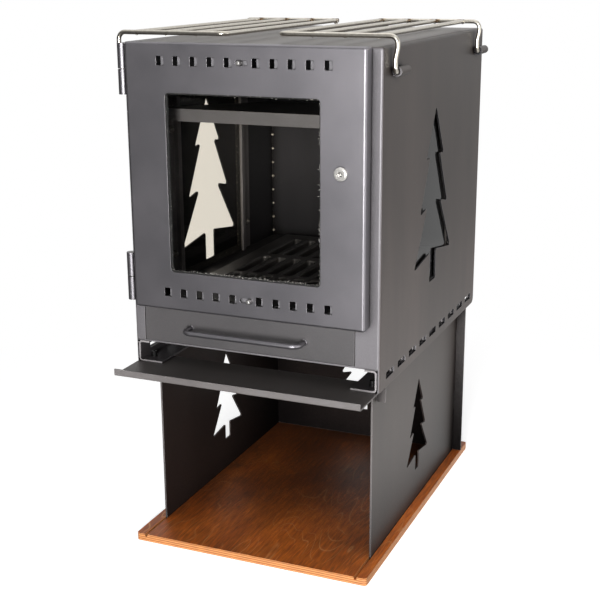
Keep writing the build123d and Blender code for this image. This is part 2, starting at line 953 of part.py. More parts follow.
def slide_rails():
    """Folded rails above and below each slide plate, spot welded inside the door."""
    rails = []
    lip_front = door_inner_face + 2 * slide_clearance + slide_sheet
    for level in (upper_vent_level, lower_vent_level):
        for side in (-1, 1):
            edge = level + side * (slide_height / 2 + slide_clearance)
            outer = edge + side * rail_base
            half = rail_length / 2
            rail = block(
                vent_centre - half, vent_centre + half, door_inner_face, lip_front + rail_sheet,
                edge, outer,
            )
            rail += block(
                vent_centre - half, vent_centre + half, lip_front, lip_front + rail_sheet,
                edge - side * rail_lip, outer,
            )
            rails.append(rail)
    return rails


def window_pane(margin, y0, y1):
    """A block behind the door window that passes its opening by a margin."""
    return block(
        window_left - margin, window_right + margin, y0, y1,
        window_bottom_level - margin, window_top_level + margin,
    )


gasket_back = door_inner_face + door_gasket_thickness
door_glass_back = gasket_back + door_glass_thickness


def door_gasket():
    """Fibre gasket between the door's sheet and its glass."""
    ring = window_pane(door_glass_margin, door_inner_face, gasket_back)
    return ring - window_pane(-door_gasket_overlap, door_inner_face, gasket_back)


def door_glass():
    """Ceramic glass of the door."""
    return chamfer(window_pane(door_glass_margin, gasket_back, door_glass_back).edges(), glass_chamfer)


def clip_places():
    """Side and level of each clip that holds the door glass."""
    middle = (window_bottom_level + window_top_level) / 2
    for side, edge in ((-1, window_left - door_glass_margin), (1, window_right + door_glass_margin)):
        for step in (-0.5, 0.5):
            yield side, edge + side * slot_clearance, middle + step * clip_spacing


def door_clips():
    """Stepped clips that press the glass on its gasket."""
    clips = []
    for side, edge, level in clip_places():
        low = level - clip_height / 2
        high = level + clip_height / 2
        back = door_glass_back + clip_sheet
        step_end = edge + side * clip_sheet
        clip = block(edge - side * clip_on_glass, step_end, door_glass_back, back, low, high)
        clip += block(edge, step_end, door_inner_face, back, low, high)
        clip += block(
            edge, edge + side * clip_on_door, door_inner_face, door_inner_face + clip_sheet, low, high
        )
        x = edge + side * clip_on_door / 2
        hole_ends = (door_inner_face, door_inner_face + clip_sheet)
        clips.append(clip - rod(stud_radius + fastener_clearance, x, hole_ends, level))
    return clips


def door_studs():
    """Studs welded inside the door sheet for the glass clips."""
    ends = (door_inner_face, door_inner_face + stud_length)
    return [rod(stud_radius, edge + side * clip_on_door / 2, ends, level) for side, edge, level in clip_places()]


def door_nuts():
    """Nuts on the door's studs."""
    nut = Rot(90, 0, 0) * hex_nut(nut_flats, nut_height, stud_radius + nut_clearance)
    y = door_inner_face + clip_sheet + nut_height / 2
    return [Pos(edge + side * clip_on_door / 2, y, level) * nut for side, edge, level in clip_places()]


def door_block(inset, y0, y1, rounding):
    """A round-cornered block in the door pan, by its distance from the pan's walls."""
    edge = door_sheet + inset
    solid = block(door_left + edge, door_right - edge, y0, y1, door_bottom_level + edge, door_top_level - edge)
    return fillet(solid.edges().filter_by(Axis.Y), rounding)


seal_front = case_front - seal_channel_setback
seal_back = seal_front + seal_channel_sheet
rope_width = 2 * rope_radius


def seal_channel():
    """Folded ring in the door pan that backs the rope and keeps it in place."""
    leg = rope_width + slot_clearance
    leg_rounding = rope_radius - slot_clearance
    leg_end = seal_front + seal_channel_leg
    ring = door_block(0, seal_front, seal_back, bend_radius - door_sheet)
    ring += door_block(leg, seal_front, leg_end, leg_rounding)
    return ring - door_block(
        leg + seal_channel_sheet, seal_front, leg_end, leg_rounding - seal_channel_sheet
    )


def rope_seal():
    """Woven rope in the seal channel, pressed against the body's front when shut."""
    y = seal_back + rope_radius
    inset = door_sheet + rope_radius
    left = door_left + inset
    right = door_right - inset
    low = door_bottom_level + inset
    high = door_top_level - inset
    middle = (left + right) / 2
    path = FilletPolyline(
        (middle, y, low), (right, y, low), (right, y, high), (left, y, high), (left, y, low),
        (middle - rope_joint_gap, y, low), radius=rope_width,
    )
    section = Plane(origin=(middle, y, low), z_dir=(1, 0, 0)) * Circle(rope_radius)
    return sweep(section, path=path)


latch_body_end = door_front + latch_body_length


def latch_housing():
    """Bezel and threaded body of the latch, fixed in the door."""
    bezel_front = door_front - latch_bezel_height
    bezel = rod(latch_bezel_radius, latch_x, (bezel_front, door_front), latch_level)
    bezel = fillet(bezel.edges().group_by(Axis.Y)[0], latch_bezel_rounding)
    body = rod(latch_body_radius, latch_x, (door_front, latch_body_end), latch_level)
    return bezel + body - rod(latch_bore_radius, latch_x, (bezel_front, latch_body_end), latch_level)


def latch_housing_nut():
    """Flat nut that clamps the housing behind the door's sheet."""
    nut = Rot(90, 0, 0) * hex_nut(latch_nut_flats, latch_nut_thickness, latch_body_radius + nut_clearance)
    return Pos(latch_x, door_inner_face + latch_nut_thickness / 2, latch_level) * nut


cam_front = case_inner_front + cam_gap
cam_back = cam_front + cam_thickness


def latch_insert():
    """Turning core of the latch, with a hexagonal key socket."""
    front = door_front - latch_bezel_height + latch_insert_recess
    core = rod(latch_insert_radius, latch_x, (front, cam_front), latch_level)
    socket = Rot(90, 0, 0) * hex_bar(latch_socket_flats, 2 * latch_socket_depth)
    core -= Pos(latch_x, front, latch_level) * socket
    hole_ends = (cam_front - cam_screw_depth - cam_screw_hole_spare, cam_front)
    return core - rod(cam_screw_radius + nut_clearance, latch_x, hole_ends, latch_level)


def latch_cam():
    """Flat tongue behind the door: up when free, across the flange when locked."""
    half = cam_width / 2
    tongue = block(
        latch_x - half, latch_x + half, cam_front, cam_back, latch_level - half, latch_level + cam_length
    )
    tongue = fillet(tongue.edges().filter_by(Axis.Y), cam_corner_radius)
    return tongue - rod(cam_screw_radius + fastener_clearance, latch_x, (cam_front, cam_back), latch_level)


def latch_cam_screw():
    """Screw that holds the tongue on the core."""
    screw = rod(cam_screw_radius, latch_x, (cam_back - cam_thickness - cam_screw_depth, cam_back), latch_level)
    head_ends = (cam_back, cam_back + cam_screw_head_height)
    head = rod(cam_screw_head_radius, latch_x, head_ends, latch_level)
    return screw + fillet(head.edges().group_by(Axis.Y)[-1], cam_screw_head_rounding)


drawer_left = drawer_opening_left + drawer_gap
drawer_right = drawer_opening_right - drawer_gap
tray_bottom = front_edge_level + tray_clearance


def drawer_front():
    """Front of the ash drawer, flush with the body."""
    return block(
        drawer_left, drawer_right, case_front, case_front + drawer_sheet,
        front_edge_level + drawer_gap, floor_level - case_sheet - drawer_gap,
    )


def drawer_tray():
    """Open ash tray welded behind the drawer's front."""
    left = drawer_left + tray_side_gap
    right = drawer_right - tray_side_gap
    front = case_front + drawer_sheet
    back = front + tray_depth
    tray = block(left, right, front, back, tray_bottom, tray_bottom + tray_height)
    return tray - block(
        left + tray_sheet, right - tray_sheet, front + tray_sheet, back - tray_sheet,
        tray_bottom + tray_sheet, tray_bottom + tray_height,
    )


def drawer_handle():
    """Bent rod handle, welded to the drawer's front."""
    left = -case_half + handle_left_inset
    right = left + handle_span
    level = case_bottom + handle_height
    bar_y = case_front - handle_bar_reach
    path = FilletPolyline(
        (left, case_front, level), (left, bar_y, level), (right, bar_y, level), (right, case_front, level),
        radius=handle_bend_radius,
    )
    section = Plane(origin=(left, case_front, level), z_dir=(0, -1, 0)) * Circle(handle_radius)
    return sweep(section, path=path)


rack_axis_x = case_half + rack_tube_radius
rack_axis_level = case_top - rack_axis_drop
rack_plane_level = case_top + rack_plane_rise


def rack_tube(setback):
    """Short tube on the right side panel that a rack's wire end turns in."""
    start = case_front + setback
    ends = (start, start + rack_tube_length)
    tube = rod(rack_tube_radius, rack_axis_x, ends, rack_axis_level)
    return tube - rod(rack_tube_bore, rack_axis_x, ends, rack_axis_level)


def rack_leg(y):
    """Points of a rack's leg from its pivot up to the rack's plane, kinked like an S."""
    return [
        (rack_axis_x, y, rack_axis_level),
        (rack_axis_x - rack_leg_kink, y, rack_axis_level + rack_kink_height),
        (rack_axis_x + rack_leg_lean, y, rack_axis_level + rack_lean_height),
        (rack_axis_x + rack_leg_lean, y, rack_plane_level),
    ]


rack_radii = [rack_pivot_bend_radius, rack_kink_radius, rack_kink_radius, rack_bend_radius]


def rack_wires(front_setback):
    """The right rack's two frame wires: pivots at both ends, welded at the rear inner corner."""
    front = case_front + front_setback
    rear = front + rack_length
    inner = rack_inner_half_gap
    front_wire = FilletPolyline(
        (rack_axis_x, front + rack_pivot_length, rack_axis_level), *rack_leg(front),
        (inner, front, rack_plane_level), (inner, rear - wire_radius, rack_plane_level),
        radius=rack_radii + [rack_bend_radius],
    )
    rear_wire = FilletPolyline(
        (rack_axis_x, rear + rack_pivot_length, rack_axis_level), *rack_leg(rear),
        (inner - wire_radius, rear, rack_plane_level), radius=rack_radii,
    )
    wires = []
    for path, start in ((front_wire, front), (rear_wire, rear)):
        place = (rack_axis_x, start + rack_pivot_length, rack_axis_level)
        section = Plane(origin=place, z_dir=(0, -1, 0)) * Circle(wire_radius)
        wires.append(sweep(section, path=path))
    return wires


def rack_bars(front_setback):
    """Cross wires of the right rack, butt welded between its front and rear wires."""
    front = case_front + front_setback
    ends = (front + wire_radius, front + rack_length - wire_radius)
    places = [rack_inner_half_gap + (step + 1) * rack_bar_pitch for step in range(rack_bar_count)]
    return [rod(wire_radius, x, ends, rack_plane_level) for x in places]


os.makedirs("parts", exist_ok=True)

save("base_board", base_board())
right_panel = stand_side_panel()
save("stand_right_panel", right_panel)
save("stand_left_panel", mirrored(right_panel))
save("stand_back_panel", stand_back_panel())
save("ember_shelf", ember_shelf())
right_channel = foot_channel()
save("foot_channel_right", right_channel)
save("foot_channel_left", mirrored(right_channel))
save("foot_screws", *both_screws(foot_screw()))
save("foot_nuts", *both_screws(foot_nut()))

save("casing_left_side", casing_side(-1, left_drawer_flange))
save("casing_right_side", casing_side(1, right_drawer_flange))
save("casing_top", casing_top())
save("front_sill", front_sill())
save("casing_back", casing_back())
save("casing_bottom", casing_bottom())
save("firebox_floor", firebox_floor())
save("fire_grate", fire_grate())
save("baffle_plate", baffle_plate())
save("baffle_pins", *baffle_pins())
save("flue_collar", flue_collar())
save("flue_flange", flue_flange())
save("flue_rivets", *flue_rivets())

save("side_glass_right", side_glass())
save("side_glass_left", mirrored(side_glass()))
for name, pieces in (
    ("side_glass_gaskets", [side_gasket()]),
    ("side_glass_clamps", side_clamps()),
    ("side_clamp_studs", side_studs()),
    ("side_clamp_nuts", side_nuts()),
):
    save(name, *pieces, *[mirrored(piece) for piece in pieces])

save("door_panel", door_panel())
save("hinge_lower_halves", *hinge_lower_halves())
save("hinge_upper_halves", *hinge_upper_halves())
save("hinge_pins", *hinge_pins())
save("door_glass", door_glass())
save("door_glass_gasket", door_gasket())
save("door_glass_clips", *door_clips())
save("door_clip_studs", *door_studs())
save("door_clip_nuts", *door_nuts())
save("seal_channel", seal_channel())
save("door_rope_seal", rope_seal())
save("slide_rails", *slide_rails())
save("upper_air_slide", air_slide(upper_vent_level, upper_vent_cover))
save("lower_air_slide", air_slide(lower_vent_level, lower_vent_cover))
save("upper_slide_pin", slide_pin(upper_vent_level, upper_pin_offset))
save("lower_slide_pin", slide_pin(lower_vent_level, lower_pin_offset))
save("latch_housing", latch_housing())
save("latch_housing_nut", latch_housing_nut())
save("latch_insert", latch_insert())
save("latch_cam", latch_cam())
save("latch_cam_screw", latch_cam_screw())

save("drawer_front", drawer_front())
save("drawer_tray", drawer_tray())
save("drawer_handle", drawer_handle())

front_tube_setback = right_rack_front + rack_tube_gap
tubes = [rack_tube(front_tube_setback), rack_tube(front_tube_setback + rack_length)]
save("rack_tubes", *tubes, *[mirrored(tube) for tube in tubes])
save("right_rack_frame", *rack_wires(right_rack_front))
save("right_rack_bars", *rack_bars(right_rack_front))
save("left_rack_frame", *[mirrored(wire) for wire in rack_wires(left_rack_front)])
save("left_rack_bars", *[mirrored(bar) for bar in rack_bars(left_rack_front)])
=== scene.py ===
import math

import bpy
from mathutils import Matrix, Vector


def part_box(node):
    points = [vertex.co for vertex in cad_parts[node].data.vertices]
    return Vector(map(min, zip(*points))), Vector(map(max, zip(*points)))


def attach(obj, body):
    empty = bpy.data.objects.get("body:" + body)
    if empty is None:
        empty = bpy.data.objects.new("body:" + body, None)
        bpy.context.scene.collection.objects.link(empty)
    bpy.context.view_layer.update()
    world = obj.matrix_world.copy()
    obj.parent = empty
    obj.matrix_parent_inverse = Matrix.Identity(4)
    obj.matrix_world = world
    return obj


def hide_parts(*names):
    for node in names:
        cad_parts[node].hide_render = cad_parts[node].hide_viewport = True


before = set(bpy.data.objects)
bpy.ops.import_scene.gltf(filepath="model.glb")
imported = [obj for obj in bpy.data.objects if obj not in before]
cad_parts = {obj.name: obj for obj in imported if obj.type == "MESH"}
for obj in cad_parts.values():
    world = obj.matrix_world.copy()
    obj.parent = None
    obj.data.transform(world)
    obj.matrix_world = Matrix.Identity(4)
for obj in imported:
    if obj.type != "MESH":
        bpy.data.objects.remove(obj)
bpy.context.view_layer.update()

# Base board: 9 mm birch plywood, stained orange-brown and oiled.
# It is cut on a router table, with a groove for each side panel of the stand,
# and its edges show the seven veneers.


def linear(hex_colour):
    """An sRGB hex colour as linear RGBA."""
    channels = [int(hex_colour[i:i + 2], 16) / 255 for i in (1, 3, 5)]
    return [c / 12.92 if c <= 0.04045 else ((c + 0.055) / 1.055) ** 2.4 for c in channels] + [1.0]


def add(tree, kind, inputs=None, **settings):
    """Adds a node with its settings, and its input values or links."""
    made = tree.nodes.new(kind)
    for name, value in settings.items():
        setattr(made, name, value)
    for key, value in (inputs or {}).items():
        if isinstance(value, bpy.types.NodeSocket):
            tree.links.new(value, made.inputs[key])
        else:
            made.inputs[key].default_value = value
    return made


def new_material(name):
    """An empty material, its node tree and its output node."""
    made = bpy.data.materials.new(name)
    made.use_nodes = True
    made.node_tree.nodes.clear()
    return made, made.node_tree, add(made.node_tree, "ShaderNodeOutputMaterial")


def ramp(tree, factor, *stops):
    """A colour ramp from pairs of position and hex colour."""
    made = add(tree, "ShaderNodeValToRGB", {"Fac": factor})
    elements = made.color_ramp.elements
    while len(elements) < len(stops):
        elements.new(0.5)
    for element, (position, colour) in zip(elements, stops):
        element.position = position
        element.color = linear(colour)
    return made.outputs["Color"]


def maths(tree, operation, *values):
    """One step of arithmetic on numbers or sockets."""
    return add(tree, "ShaderNodeMath", dict(enumerate(values)), operation=operation).outputs[0]


def mix_colours(tree, factor, first, second, blend="MIX"):
    """One colour over another."""
    inputs = {0: factor, 6: first, 7: second}
    return add(tree, "ShaderNodeMix", inputs, data_type="RGBA", blend_type=blend).outputs[2]


def place(tree, scale=(1, 1, 1), location=(0, 0, 0)):
    """Object coordinates, stretched and moved."""
    coordinates = add(tree, "ShaderNodeTexCoord").outputs["Object"]
    mapping = add(tree, "ShaderNodeMapping", {"Vector": coordinates, "Scale": scale, "Location": location})
    return mapping.outputs[0]


def axis(tree, vector, name):
    """One of a vector's three numbers."""
    return add(tree, "ShaderNodeSeparateXYZ", {"Vector": vector}).outputs[name]


def remap(tree, value, low, high, new_low=0.0, new_high=1.0):
    """Stretches one range of numbers onto another and holds its ends."""
    return add(tree, "ShaderNodeMapRange", {
        "Value": value, "From Min": low, "From Max": high, "To Min": new_low, "To Max": new_high,
    }).outputs[0]


def along(tree, first, second):
    """How far one vector points along another."""
    return add(tree, "ShaderNodeVectorMath", {0: first, 1: second}, operation="DOT_PRODUCT").outputs["Value"]


def openness(tree, distance):
    """How far the surroundings leave a point open: 0 in a deep corner, 1 on a free face."""
    return add(tree, "ShaderNodeAmbientOcclusion", {"Distance": distance}, samples=8).outputs["AO"]


def surface(tree, output, inputs):
    """Joins one Principled shader to a material's output."""
    shader = add(tree, "ShaderNodeBsdfPrincipled", inputs)
    tree.links.new(shader.outputs[0], output.inputs["Surface"])


def noise(tree, vector, scale, detail=3.0, roughness=0.5, distortion=0.0):
    """A noise pattern's value; scale counts the features in one metre."""
    return add(tree, "ShaderNodeTexNoise", {
        "Vector": vector, "Scale": scale, "Detail": detail, "Roughness": roughness, "Distortion": distortion,
    }).outputs["Fac"]


def finish_with(material, *names):
    """Gives CAD nodes one material."""
    for name in names:
        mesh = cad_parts[name].data
        mesh.materials.clear()
        mesh.materials.append(material)


# Birch plywood: the rotary-cut face veneer has a wide wandering figure with fine pores,
# and the stain sinks deeper in soft places. The oil leaves a low satin sheen.
veneer = 0.0013
plywood, tree, output = new_material("Stained oiled birch plywood")
figure = noise(tree, place(tree, scale=(1, 0.3, 1)), 7.0, detail=3.0, roughness=0.5, distortion=0.3)
rings = maths(tree, "PINGPONG", maths(tree, "MULTIPLY", figure, 34.0), 0.5)
ring_lines = ramp(tree, rings, (0.0, "#ffffff"), (0.08, "#404040"), (0.18, "#000000"))
shown = ramp(tree, noise(tree, place(tree), 17.0, detail=2.0), (0.42, "#000000"), (0.62, "#ffffff"))
clouds = noise(tree, place(tree, scale=(1, 0.6, 1)), 10.0, detail=4.0, roughness=0.6, distortion=0.4)
pores = noise(tree, place(tree, scale=(1, 0.06, 1)), 1100.0, detail=2.0)
streaks = noise(tree, place(tree, scale=(1, 0.08, 1)), 330.0, detail=4.0, roughness=0.7, distortion=0.3)
face = ramp(tree, clouds, (0.25, "#8d581e"), (0.42, "#b57631"), (0.6, "#cf9242"), (0.78, "#dfa85c"))
streak_colours = ramp(tree, streaks, (0.36, "#6b4020"), (0.64, "#cf9d62"))
face = mix_colours(tree, 0.75, face, streak_colours, "OVERLAY")
light_lines = maths(tree, "MULTIPLY", maths(tree, "MULTIPLY", ring_lines, shown), 0.85)
face = mix_colours(tree, light_lines, face, linear("#d69c60"))
pore_colours = ramp(tree, pores, (0.35, "#3d1d0c"), (0.6, "#b98450"))
face = mix_colours(tree, 0.3, face, pore_colours, "OVERLAY")
# Knots are few and small, and the face is painted dark as painted shade where the panels shelter it.
cells = add(tree, "ShaderNodeTexVoronoi", {"Vector": place(tree, scale=(1, 0.7, 1)), "Scale": 9.0})
knots = ramp(tree, cells.outputs["Distance"], (0.02, "#ffffff"), (0.05, "#000000"))
face = mix_colours(tree, knots, face, linear("#2a1408"))
board_unshaded = remap(tree, openness(tree, 0.3), 0.23, 0.37)
face = mix_colours(tree, board_unshaded, mix_colours(tree, 0.9, face, linear("#150802")), face)
layer = maths(tree, "PINGPONG", maths(tree, "MULTIPLY", axis(tree, place(tree), "Z"), 0.5 / veneer), 0.5)
layer_mark = noise(tree, place(tree, scale=(0.3, 0.3, 1)), 300.0, detail=2.0)
edge = ramp(tree, layer, (0.18, "#9f683a"), (0.32, "#cda06c"))
mark_colours = ramp(tree, layer_mark, (0.3, "#8a5526"), (0.7, "#d8a468"))
edge = mix_colours(tree, 0.4, edge, mark_colours, "OVERLAY")
upright = axis(tree, add(tree, "ShaderNodeTexCoord").outputs["Normal"], "Z")
on_face = maths(tree, "GREATER_THAN", maths(tree, "ABSOLUTE", upright), 0.6)
bump = add(tree, "ShaderNodeBump", {"Height": pores, "Strength": 0.25, "Distance": 0.0003})
surface(tree, output, {
    "Base Color": mix_colours(tree, on_face, edge, face), "Roughness": 0.5, "Normal": bump.outputs[0],
    "Coat Weight": 0.02, "Coat Roughness": 0.35,
})
finish_with(plywood, "base_board")

# Stand: three slotted panels of 2 mm sheet steel, laser cut, that lock with tabs.
# They are sprayed with the same heat-proof silicone coating as the stove body.
fine_grain = 0.0007
edge_rounding_and_highlight = 0.0007


def coated_steel(name, outside, inside=None, centre=0.4, inner_half=1.0, front=None, sheen=0.45,
                 metallic=0.3, stretch=(1, 1, 1), shade=0.0, top_shade=0.0):
    """Silicone coating on sheet steel, with a painted highlight along cut edges.

    Each colour is a dark and a light shade that drift in wide clouds. Inward faces, seen from the
    height centre and within inner_half of the middle, take the inside colours; faces to the front take
    the front colours, painted lighter as lit. shade sets how far painted shade darkens corners, and
    the last argument how far painted shade darkens the top.
    """
    made, tree, output = new_material(name)
    clouds = noise(tree, place(tree, scale=stretch), 9.0, detail=5.0, roughness=0.6)
    way = add(tree, "ShaderNodeTexCoord").outputs["Normal"]

    def cloudy(shades):
        return ramp(tree, clouds, (0.32, shades[0]), (0.68, shades[1]))

    colour = cloudy(outside)
    if top_shade:
        # The coating is drawn browner and darker towards the top, as painted shade.
        painted_top_shade = remap(tree, axis(tree, place(tree), "Z"), 0.3, 0.6, 0.0, top_shade)
        colour = mix_colours(tree, painted_top_shade, colour, linear("#231a15"))
    # Faces to the front are painted lighter, as painted light where the lamps fall on them.
    if front:
        painted_front_light = remap(tree, axis(tree, way, "Y"), -0.4, -0.9)
        colour = mix_colours(tree, painted_front_light, colour, cloudy(front))
    if inside:
        # In the body the faces that look inwards keep less spray and take the smoke; in the stand their
        # darker colour is painted shade.
        from_centre = place(tree, location=(0, 0, -centre))
        inwards = maths(tree, "LESS_THAN", along(tree, way, from_centre), 0.0)
        across = maths(tree, "ABSOLUTE", axis(tree, from_centre, "X"))
        inner = maths(tree, "MULTIPLY", inwards, maths(tree, "LESS_THAN", across, inner_half))
        colour = mix_colours(tree, inner, colour, cloudy(inside))
    # Spray grain is about 0.3 mm; it is drawn at 0.7 mm so that it shows.
    sand = noise(tree, place(tree), 1 / fine_grain, detail=2.0, roughness=0.7)
    colour = mix_colours(tree, 0.25, colour, ramp(tree, sand, (0.3, "#3c3c3c"), (0.7, "#c4c4c4")), "OVERLAY")
    gloss = 0.5
    if shade:
        # Sheltered corners are painted dark as painted shade, and lose their gloss too.
        unshaded = remap(tree, openness(tree, shade), 0.35, 0.85)
        colour = mix_colours(tree, unshaded, linear("#0d0b0b"), colour)
        gloss = maths(tree, "MULTIPLY", unshaded, 0.5)
    # The sheet's edges are painted lighter, a painted highlight where they catch the light.
    soft_edge = add(tree, "ShaderNodeBevel", {"Radius": edge_rounding_and_highlight}, samples=4).outputs[0]
    straight = along(tree, soft_edge, add(tree, "ShaderNodeNewGeometry").outputs["True Normal"])
    colour = mix_colours(tree, remap(tree, straight, 0.98, 0.8, 0.0, 0.5), colour, linear("#a5a1a0"))
    bump = add(tree, "ShaderNodeBump", {
        "Height": sand, "Strength": 0.12, "Distance": 0.0002, "Normal": soft_edge,
    })
    surface(tree, output, {
        "Base Color": colour, "Roughness": remap(tree, clouds, 0.0, 1.0, sheen - 0.05, sheen + 0.06),
        "Metallic": metallic, "Normal": bump.outputs[0], "Specular IOR Level": gloss,
    })
    return made


# The stand's inward faces and sheltered corners are painted shade; its faces to the front are painted lighter
# as lit.
stand_coat = coated_steel(
    "Satin silicone coating, stand", ("#47423f", "#5b5450"), inside=("#3b312e", "#463a36"), centre=0.11,
    front=("#75706f", "#807b7a"), metallic=0.4, stretch=(1, 1.6, 0.25), shade=0.22, inner_half=0.1355,
)
finish_with(stand_coat, "stand_left_panel", "stand_right_panel", "stand_back_panel")

# Ember shelf: one folded strip of coated sheet under the body's front.
# It catches embers; its top is darkened by painted shade under the body, and its front lip is painted lighter
# as lit.
shelf_coat = coated_steel(
    "Satin silicone coating, ember shelf", ("#54504e", "#5e5957"), front=("#666160", "#74706f"),
    metallic=0.2, shade=0.03,
)
finish_with(shelf_coat, "ember_shelf")

# Foot channels: folded C sections that the body stands on, coated inside and out.
# Both are open inwards; their cut ends in front are painted lighter as lit, and their sides darker as painted
# shade.
channel_coat = coated_steel(
    "Satin silicone coating, foot channels", ("#353234", "#423e40"), front=("#8d898a", "#9b9798"),
    metallic=0.2,
)
finish_with(channel_coat, "foot_channel_left", "foot_channel_right")

# Foot screws: M5 socket screws with washers and nuts, black oxide.
# They clamp the ember shelf under the foot channels.
black_oxide, tree, output = new_material("Black oxide on screw steel")
speck = noise(tree, place(tree), 900.0)
surface(tree, output, {
    "Base Color": ramp(tree, speck, (0.3, "#0d0d0d"), (0.7, "#1c1c1c")), "Metallic": 0.6, "Roughness": 0.42,
})
finish_with(black_oxide, "foot_screws", "foot_nuts")

# Body: folded skin of 2 mm sheet in two sides, top and sill, with back and bottom plates.
# The sides are painted browner and darker than the faces to the front, and darker still towards the top, as
# painted shade; the coating is smoked inside, and its corners take painted shade.
smoked_shades = ("#1e1e23", "#2b2b31")
body_coat = coated_steel(
    "Satin silicone coating, body", ("#443e3b", "#605753"), inside=smoked_shades,
    front=("#706d70", "#7c797c"), metallic=0.4, stretch=(1, 1.6, 0.25), shade=0.02, top_shade=0.45,
)
# The top plate's faces to the front are painted lighter as lit.
top_coat = coated_steel(
    "Satin silicone coating, top plate", ("#736e6b", "#7f7a77"), inside=smoked_shades,
    front=("#7f7d80", "#8b888c"), metallic=0.5,
)
finish_with(body_coat, "casing_left_side", "casing_right_side", "casing_back", "casing_bottom")
finish_with(top_coat, "casing_top")

# Firebox: floor, baffle and pins of plain sheet and bar, blackened by smoke.
# The baffle's folded lip in front is painted lighter as lit.
smoked_coat = coated_steel("Smoked silicone coating", ("#2b2a2d", "#353437"), sheen=0.5)
baffle_coat = coated_steel(
    "Smoked coating, baffle", ("#403f42", "#4b4a4d"), front=("#55555a", "#64646a"), sheen=0.5,
)
clamp_coat = coated_steel("Silicone coating, glass clamps", ("#6a686c", "#78767a"), metallic=0.4)
finish_with(smoked_coat, "firebox_floor", "baffle_pins")
finish_with(clamp_coat, "side_glass_clamps")
finish_with(baffle_coat, "baffle_plate")

# Fire grate: grey cast iron, shot blasted and loose on the firebox floor.
# The sand mould leaves a pitted skin that shines a little on its high places.
cast_iron, tree, output = new_material("Shot-blasted cast iron")
pits = noise(tree, place(tree), 700.0, detail=4.0, roughness=0.65)
soot = noise(tree, place(tree), 22.0, detail=3.0)
colour = mix_colours(tree, 0.5, ramp(tree, soot, (0.3, "#6a696b"), (0.7, "#8d8b8d")),
                     ramp(tree, pits, (0.3, "#3a3a3a"), (0.7, "#8d8d8d")), "OVERLAY")
bump = add(tree, "ShaderNodeBump", {"Height": pits, "Strength": 0.5, "Distance": 0.0004})
surface(tree, output, {
    "Base Color": colour, "Metallic": 0.8, "Roughness": 0.34, "Normal": bump.outputs[0],
})
finish_with(cast_iron, "fire_grate")

# Flue collar: a rolled tube welded in a ring that is riveted to the back plate.
# The weld runs all round and was coated with the rest.
finish_with(body_coat, "flue_collar", "flue_flange")


def mesh_object(name, vertices, faces, material=None, edges=()):
    """A new mesh object, smooth where it has faces."""
    mesh = bpy.data.meshes.new(name)
    mesh.from_pydata([tuple(v) for v in vertices], list(edges), faces)
    mesh.polygons.foreach_set("use_smooth", [True] * len(mesh.polygons))
    if material:
        mesh.materials.append(material)
    made = bpy.data.objects.new(name, mesh)
    bpy.context.scene.collection.objects.link(made)
    return made


def new_geometry_tree(name, *sizes):
    """A Geometry Nodes tree with a mesh input, a material and named sizes."""
    tree = bpy.data.node_groups.new(name, "GeometryNodeTree")
    tree.interface.new_socket("Geometry", in_out="INPUT", socket_type="NodeSocketGeometry")
    tree.interface.new_socket("Material", in_out="INPUT", socket_type="NodeSocketMaterial")
    for size in sizes:
        tree.interface.new_socket(size, in_out="INPUT", socket_type="NodeSocketFloat")
    tree.interface.new_socket("Geometry", in_out="OUTPUT", socket_type="NodeSocketGeometry")
    return tree, add(tree, "NodeGroupInput").outputs


def finish_tree(tree, geometry, material):
    """Ends a tree in Realize Instances and Set Material."""
    real = add(tree, "GeometryNodeRealizeInstances", {"Geometry": geometry})
    painted = add(tree, "GeometryNodeSetMaterial", {"Geometry": real.outputs[0], "Material": material})
    add(tree, "NodeGroupOutput", {"Geometry": painted.outputs[0]})


def grown(name, lines, tree, material, body, slot, **sizes):
    """Runs a tree on open or closed lines and keeps the result as one plain mesh on a body."""
    points, edges = [], []
    for line, closed in lines:
        first = len(points)
        points += line
        edges += [(first + i, first + i + 1) for i in range(len(line) - 1)]
        if closed:
            edges.append((first + len(line) - 1, first))
    start = mesh_object(name + "_lines", points, [], edges=edges)
    modifier = start.modifiers.new("grow", "NODES")
    modifier.node_group = tree
    for socket in tree.interface.items_tree:
        if socket.in_out == "INPUT" and socket.name in sizes:
            modifier[socket.identifier] = sizes[socket.name]
        elif socket.in_out == "INPUT" and socket.name == "Material":
            modifier[socket.identifier] = material
    evaluated = start.evaluated_get(bpy.context.evaluated_depsgraph_get())
    mesh = bpy.data.meshes.new_from_object(evaluated)
    start.modifiers.remove(modifier)
    bpy.data.objects.remove(start)
    mesh.name = name
    made = bpy.data.objects.new(name, mesh)
    bpy.context.scene.collection.objects.link(made)
    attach(made, body)
    return made


def circle(centre, across, up, radius, count=40):
    """Points round a circle, for a closed line."""
    turns = [2 * math.pi * i / count for i in range(count)]
    return [centre + (across * math.cos(t) + up * math.sin(t)) * radius for t in turns], True


def line(*points):
    """Points of an open line."""
    return [Vector(p) for p in points], False


def points_along(tree, geometry, pitch):
    """Points at one pitch along the lines of a mesh."""
    curve = add(tree, "GeometryNodeMeshToCurve", {"Mesh": geometry})
    inputs = {"Curve": curve.outputs[0], "Length": pitch}
    return add(tree, "GeometryNodeCurveToPoints", inputs, mode="LENGTH").outputs[0]


# A weld bead is a row of overlapping drops, one for each dip of the rod.
weld_tree, given = new_geometry_tree("weld_bead", "Pitch", "Radius")
drops = points_along(weld_tree, given["Geometry"], given["Pitch"])
drop = add(weld_tree, "GeometryNodeMeshIcoSphere", {"Radius": 1.0, "Subdivisions": 2})
spread = {2: 0.85, 3: 1.15, "Seed": 7}
uneven = add(weld_tree, "FunctionNodeRandomValue", spread, data_type="FLOAT").outputs[1]
beads = add(weld_tree, "GeometryNodeInstanceOnPoints", {
    "Points": drops, "Instance": drop.outputs[0],
    "Scale": maths(weld_tree, "MULTIPLY", given["Radius"], uneven),
})
smooth = add(weld_tree, "GeometryNodeSetShadeSmooth", {0: beads.outputs[0]})
finish_tree(weld_tree, smooth.outputs[0], given["Material"])

